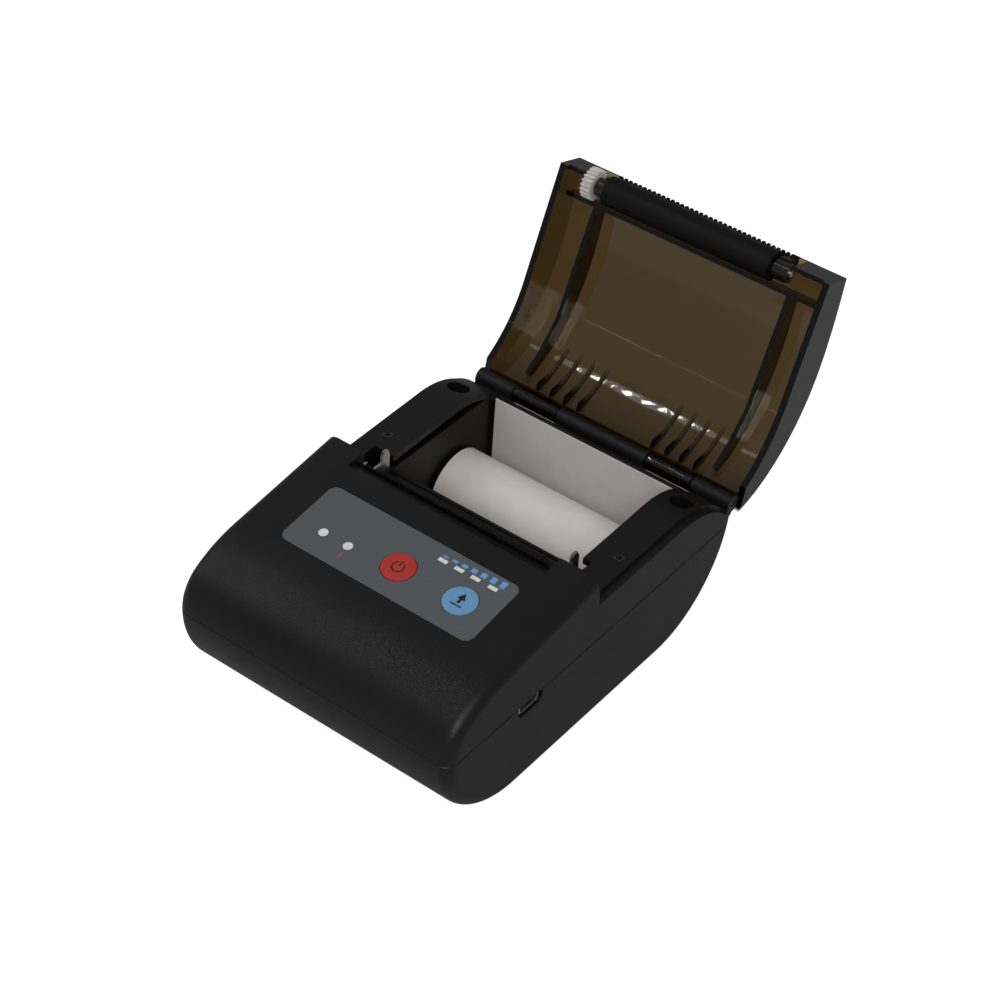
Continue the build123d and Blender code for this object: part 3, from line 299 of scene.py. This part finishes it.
# each maker with the looks it makes; sizes in mm
mouldedLooks = {
    "caseAbs": {"dark": "#0e0e0f", "light": "#121213", "rough": 0.42, "gloss": 0.25,
                "grain": 0.35, "depth": 0.035},
    "binAbs": {"dark": "#0a0a0b", "light": "#0e0e0f", "rough": 0.45, "gloss": 0.2,
               "grain": 0.4, "depth": 0.015},
    "epoxyBlack": {"dark": "#161617", "light": "#1d1d1e", "rough": 0.6, "gloss": 0.5,
                   "grain": 0.2, "depth": 0.01},
    "blackAcetal": {"dark": "#0c0c0d", "light": "#111112", "rough": 0.2, "gloss": 0.5,
                    "grain": 0.4, "depth": 0.004},
}
metalLooks = {
    "nickelSteel": {"dark": "#b4b2af", "light": "#c9c7c4", "rough": 0.3},
    "blackSteel": {"dark": "#2a2a2b", "light": "#353535", "rough": 0.42},
    "zincSteel": {"dark": "#9a9a9c", "light": "#b0b0b2", "rough": 0.36},
    "cutBrass": {"dark": "#b08a4a", "light": "#c29c5a", "rough": 0.3},
    "extrudedAluminium": {"dark": "#a9abae", "light": "#bcbec0", "rough": 0.4},
}
printedLooks = {
    "greyFilm": {"dark": "#45484c", "light": "#4c4f53", "rough": 0.45},
    "redKey": {"dark": "#92211b", "light": "#9e2820", "rough": 0.5},
    "blueKey": {"dark": "#527da3", "light": "#5c87ab", "rough": 0.5},
    "blackInk": {"dark": "#121214", "light": "#18181b", "rough": 0.5},
    "redInk": {"dark": "#a52f26", "light": "#b0362c", "rough": 0.5},
    "blueInk": {"dark": "#527fb0", "light": "#5c8abb", "rough": 0.5},
}
milkyLooks = {
    "whiteAcetal": {"dark": "#b2aeab", "light": "#bdb9b6", "rough": 0.4},
    "milkyLens": {"dark": "#bcbab9", "light": "#c9c7c6", "rough": 0.3},
    "glazedCeramic": {"dark": "#b7a88d", "light": "#c4b69c", "rough": 0.2},
}
finishes = {}
for maker, looks in ((mouldedAbs, mouldedLooks), (brushedMetal, metalLooks),
                     (printedFilm, printedLooks), (milkyPlastic, milkyLooks)):
    for name, look in looks.items():
        finishes[name] = maker(name, look)
for maker in (smokedPolycarbonate, thermalPaper, rolledPaper, cardCore, groundNitrile,
              mouldedSilicone, greenSolderMask, shrinkSleeve):
    made = maker()
    finishes[made.name] = made
print("finishes made:", len(finishes))

nodeFinish = {
    "lower_case": "caseAbs", "upper_case": "caseAbs", "battery_door": "caseAbs",
    "paper_bin": "binAbs", "paper_guide": "binAbs", "roller_bracket": "binAbs",
    "left_bearing": "blackAcetal", "right_bearing": "blackAcetal",
    "lid": "smokedPolycarbonate", "paper_tail": "thermalPaper", "paper_roll": "rolledPaper",
    "paper_core": "cardCore", "rubber_feet": "mouldedSilicone", "platen_rubber": "groundNitrile",
    "battery_pack": "shrinkSleeve", "main_board": "greenSolderMask",
    "button_board": "greenSolderMask", "board_chips": "epoxyBlack",
    "tact_switches": "epoxyBlack", "status_lamps": "milkyLens", "light_guides": "milkyLens",
    "panel_label": "greyFilm", "power_button": "redKey", "feed_button": "blueKey",
    "usb_socket": "nickelSteel", "mechanism_frame": "nickelSteel",
    "head_springs": "nickelSteel", "idler_axle": "nickelSteel", "case_screws": "zincSteel",
    "hinge_pin": "nickelSteel", "platen_shaft": "nickelSteel", "tear_bar": "blackSteel",
    "stepper_motor": "zincSteel", "motor_pinion": "cutBrass", "print_head": "glazedCeramic",
    "heat_sink": "extrudedAluminium", "idler_gear": "whiteAcetal", "platen_gear": "whiteAcetal",
}
# points this near, in mm, become one, and surfaces that meet at under this angle shade as one
shading = {"weld": 0.002, "angle": 32}

for name, node in nodes.items():
    for polygon in node.data.polygons:
        polygon.use_smooth = True
    weld = node.modifiers.new("weld", "WELD")
    weld.merge_threshold = shading["weld"] * mm
    split = node.modifiers.new("edges", "EDGE_SPLIT")
    split.split_angle = math.radians(shading["angle"])
    node.data.materials.clear()
    node.data.materials.append(finishes[nodeFinish[name]])
print("nodes dressed:", len(nodes))

# the sloping panel: its marks are drawn flat in its own plane and then laid on it
panel = {"noseY": -79.6, "front": 22.4, "slope": 8.3, "blockRear": 56.2, "blockTop": 48.4,
         "ink": 0.03, "labelTop": -0.1, "keyTop": 0.2}
panelSlope = math.radians(panel["slope"])
panelHeight = panel["blockTop"] - (panel["blockRear"] - panel["front"]) * math.tan(panelSlope)
panelFoot = (0, (panel["noseY"] + panel["front"]) * mm, panelHeight * mm)
panelPlace = Matrix.Translation(panelFoot) @ Matrix.Rotation(panelSlope, 4, "X")


def selectOnly(*chosen):
    # the first one given becomes the active object
    for obj in bpy.context.selected_objects:
        obj.select_set(False)
    for obj in chosen:
        obj.select_set(True)
    bpy.context.view_layer.objects.active = chosen[0]


def editMesh(obj, *steps):
    # runs operators in edit mode with the whole mesh selected
    selectOnly(obj)
    bpy.ops.object.mode_set(mode="EDIT")
    bpy.ops.mesh.select_all(action="SELECT")
    for step in steps:
        step()
    bpy.ops.object.mode_set(mode="OBJECT")


def rimOnly(line):
    # steps that leave a flat face's rim, this wide in mm
    return (lambda: bpy.ops.mesh.inset(thickness=line * mm),
            lambda: bpy.ops.mesh.delete(type="FACE"))


def raiseBody(height):
    # steps that turn flat faces into a closed body, this high in mm
    lift = {"value": (0, 0, height * mm)}
    return (lambda: bpy.ops.mesh.select_all(action="SELECT"),
            lambda: bpy.ops.mesh.extrude_region_move(TRANSFORM_OT_translate=lift),
            lambda: bpy.ops.mesh.select_all(action="SELECT"),
            lambda: bpy.ops.mesh.normals_make_consistent(inside=False))


def deleteFaces(obj, doomed):
    # faces are marked in code, by their place
    editMesh(obj, lambda: bpy.ops.mesh.select_all(action="DESELECT"))
    for face in obj.data.polygons:
        face.select = doomed(face)
    bpy.ops.object.mode_set(mode="EDIT")
    bpy.ops.mesh.delete(type="FACE")
    bpy.ops.object.mode_set(mode="OBJECT")


def applyPlace(obj):
    selectOnly(obj)
    bpy.ops.object.transform_apply(location=True, rotation=True, scale=True)


def finishPiece(obj, name, body, finish):
    obj.name = name
    obj.data.name = name
    obj.data.materials.clear()
    obj.data.materials.append(finishes[finish])
    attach(obj, body)


def flatDisc(corners, radius, place, turn=0):
    # a flat disc, or a polygon with a few corners; sizes in mm
    bpy.ops.mesh.primitive_circle_add(vertices=corners, radius=radius * mm, fill_type="NGON",
                                      location=[part * mm for part in place],
                                      rotation=(0, 0, turn))
    disc = bpy.context.active_object
    applyPlace(disc)
    return disc


def inkBar(x, v, width, length):
    # a flat printed bar
    bpy.ops.mesh.primitive_plane_add(size=1, location=(x * mm, v * mm, 0))
    bar = bpy.context.active_object
    bar.scale = (width * mm, length * mm, 1)
    applyPlace(bar)
    return bar


def printOn(pieces, name, body, finish, height):
    # flat ink gets its thin body and goes to its place on the panel
    selectOnly(*pieces)
    if len(pieces) > 1:
        bpy.ops.object.join()
    mark = pieces[0]
    editMesh(mark, *raiseBody(panel["ink"]))
    mark.data.transform(panelPlace @ Matrix.Translation((0, 0, height * mm)))
    finishPiece(mark, name, body, finish)


# standby mark on the red key: a ring open at its top and a stem
standby = {"x": 1.0, "v": 9.1, "radius": 1.75, "line": 0.36, "gap": 0.75, "stem": 1.9, "rise": 1.2}
ring = flatDisc(64, standby["radius"], (standby["x"], standby["v"], 0))
editMesh(ring, *rimOnly(standby["line"]))
deleteFaces(ring, lambda face: (face.center.y > standby["v"] * mm
                                and abs(face.center.x - standby["x"] * mm) < standby["gap"] * mm))
stem = inkBar(standby["x"], standby["v"] + standby["rise"], standby["line"], standby["stem"])
printOn([ring, stem], "standby_mark", "power_key", "blackInk", panel["keyTop"])

# feed mark on the blue key: an arrow over the edge of the paper
arrow = {"x": 19.5, "v": 9.4, "head": 1.35, "headRise": 1.0, "shaft": 0.75, "shaftLength": 1.5,
         "shaftDrop": 0.3, "edge": 3.2, "edgeDrop": 1.75, "line": 0.4}
arrowHead = flatDisc(3, arrow["head"], (arrow["x"], arrow["v"] + arrow["headRise"], 0))
arrowShaft = inkBar(arrow["x"], arrow["v"] - arrow["shaftDrop"], arrow["shaft"],
                    arrow["shaftLength"])
paperEdge = inkBar(arrow["x"], arrow["v"] - arrow["edgeDrop"], arrow["edge"], arrow["line"])
printOn([arrowHead, arrowShaft, paperEdge], "feed_mark", "feed_key", "blackInk", panel["keyTop"])

# seven blue bars over the charge windows, each taller than the last
gauge = {"first": 8.1, "last": 24.8, "count": 7, "base": 18.2, "width": 1.55, "low": 0.5,
         "high": 2.2}
bars = []
for i in range(gauge["count"]):
    share = i / (gauge["count"] - 1)
    tall = gauge["low"] + (gauge["high"] - gauge["low"]) * share
    x = gauge["first"] + (gauge["last"] - gauge["first"]) * share
    bars.append(inkBar(x, gauge["base"] + tall / 2, gauge["width"], tall))
printOn(bars, "gauge_marks", "case", "blueInk", panel["labelTop"])

# red tick by the second lamp
tick = {"x": -12.9, "v": 4.0, "width": 0.35, "length": 2.0}
tickBar = inkBar(tick["x"], tick["v"], tick["width"], tick["length"])
printOn([tickBar], "lamp_tick", "case", "redInk", panel["labelTop"])
print("panel marks made")

# fine grey squares printed on the rails, round the small pits
railMark = {"x": 36.4, "y": -6.4, "z": 40.67, "radius": 1.35, "line": 0.13, "proud": 0.05}
for side, name in ((-1, "left_rail_mark"), (1, "right_rail_mark")):
    place = (side * railMark["x"], railMark["y"], railMark["z"])
    square = flatDisc(4, railMark["radius"], place, math.pi / 4)
    editMesh(square, *rimOnly(railMark["line"]), *raiseBody(railMark["proud"]))
    finishPiece(square, name, "case", "greyFilm")
print("rail marks made")

# camera at the photograph's angle
view = {"place": (0.27816, -0.40842, 0.4449), "right": (0.7928, 0.6067, 0.0576),
        "up": (-0.4241, 0.4813, 0.7671), "back": (0.4377, -0.6326, 0.6389),
        "lens": 91.46, "sensor": 36, "near": 0.01}
cameraData = bpy.data.cameras.new("camera")
cameraData.lens = view["lens"]
cameraData.sensor_width = view["sensor"]
cameraData.sensor_fit = "HORIZONTAL"
cameraData.clip_start = view["near"]
camera = bpy.data.objects.new("camera", cameraData)
scene.collection.objects.link(camera)
turn = Matrix((view["right"], view["up"], view["back"])).transposed()
camera.matrix_world = Matrix.Translation(view["place"]) @ turn.to_4x4()
scene.camera = camera

# plain studio: a white room for the eye, a dimmer one for the light on the object
studio = {"fill": 0.6, "reflected": 0.22, "backdrop": 1.0, "floor": "#a2a2a2", "floorGlow": 0.88,
          "floorSize": 6, "floorDrop": 0.0002}
world = bpy.data.worlds.new("studio")
scene.world = world
world.use_nodes = True
tree = world.node_tree
tree.nodes.clear()
rays = addNode(tree, "ShaderNodeLightPath").outputs
seen = addNode(tree, "ShaderNodeMath", {"operation": "MAXIMUM"},
               {0: rays["Is Camera Ray"], 1: rays["Is Transmission Ray"]})
dim = addNode(tree, "ShaderNodeMapRange",
              {"To Min": studio["fill"], "To Max": studio["reflected"]},
              {"Value": rays["Is Glossy Ray"]})
level = addNode(tree, "ShaderNodeMix", {"data_type": "FLOAT", "B": studio["backdrop"]},
                {"Factor": seen, "A": dim})
sky = addNode(tree, "ShaderNodeBackground", {"Color": linear("#ffffff")}, {"Strength": level})
addNode(tree, "ShaderNodeOutputWorld", links={"Surface": sky})

bpy.ops.mesh.primitive_plane_add(size=studio["floorSize"], location=(0, 0, -studio["floorDrop"]))
floor = bpy.context.active_object
floor.name = "floor"
# matt studio paper, which glows to the eye alone so that it meets the white room with no edge
floorPaint, tree, bsdf, _ = newMaterial(
    "floorPaint",
    {"Base Color": studio["floor"], "Roughness": 0.9, "Specular IOR Level": 0.0,
     "Emission Color": "#ffffff"},
)
rays = addNode(tree, "ShaderNodeLightPath").outputs
direct = addNode(tree, "ShaderNodeMath", {"operation": "MAXIMUM"},
                 {0: rays["Is Camera Ray"], 1: rays["Is Transmission Ray"]})
glow = addNode(tree, "ShaderNodeMath", {"operation": "MULTIPLY", 1: studio["floorGlow"]},
               {0: direct})
feed(tree, bsdf, {"Emission Strength": glow})
floor.data.materials.append(floorPaint)

# two big lamps light the object; the ceiling lamp, the row of bulbs under it and the far strip
# hang level and show in the lid
lamps = {
    "frontLamp": {"place": (0.45, -0.65, 0.85), "size": (0.7, 0.7), "watts": 6.3},
    "sideLamp": {"place": (-1.0, -0.35, 0.9), "size": (0.8, 0.8), "watts": 2.4},
    "ceilingLamp": {"place": (-0.42, -0.2, 0.94), "size": (0.2, 0.1), "watts": 0.07,
                    "level": True},
    "farLamp": {"place": (-0.62, -1.05, 0.94), "size": (0.5, 0.008), "watts": 0.04, "level": True},
}
bulbs = {"count": 5, "first": (-0.45, -0.19, 0.93), "last": (-0.37, -0.21, 0.93),
         "size": (0.007, 0.06), "watts": 0.045}
for i in range(bulbs["count"]):
    share = i / (bulbs["count"] - 1)
    spot = [start + (end - start) * share for start, end in zip(bulbs["first"], bulbs["last"])]
    lamps["bulb" + str(i + 1)] = {"place": spot, "size": bulbs["size"], "watts": bulbs["watts"],
                                  "level": True}
aim = Vector((0, 0, 0.02))
for name, lamp in lamps.items():
    data = bpy.data.lights.new(name, "AREA")
    data.shape = "ELLIPSE"
    data.size, data.size_y = lamp["size"]
    data.energy = lamp["watts"]
    light = bpy.data.objects.new(name, data)
    scene.collection.objects.link(light)
    light.location = lamp["place"]
    if not lamp.get("level"):
        gaze = aim - Vector(lamp["place"])
        light.rotation_euler = gaze.to_track_quat("-Z", "Y").to_euler()

scene.view_settings.view_transform = "Standard"
print("camera, room and lamps set")
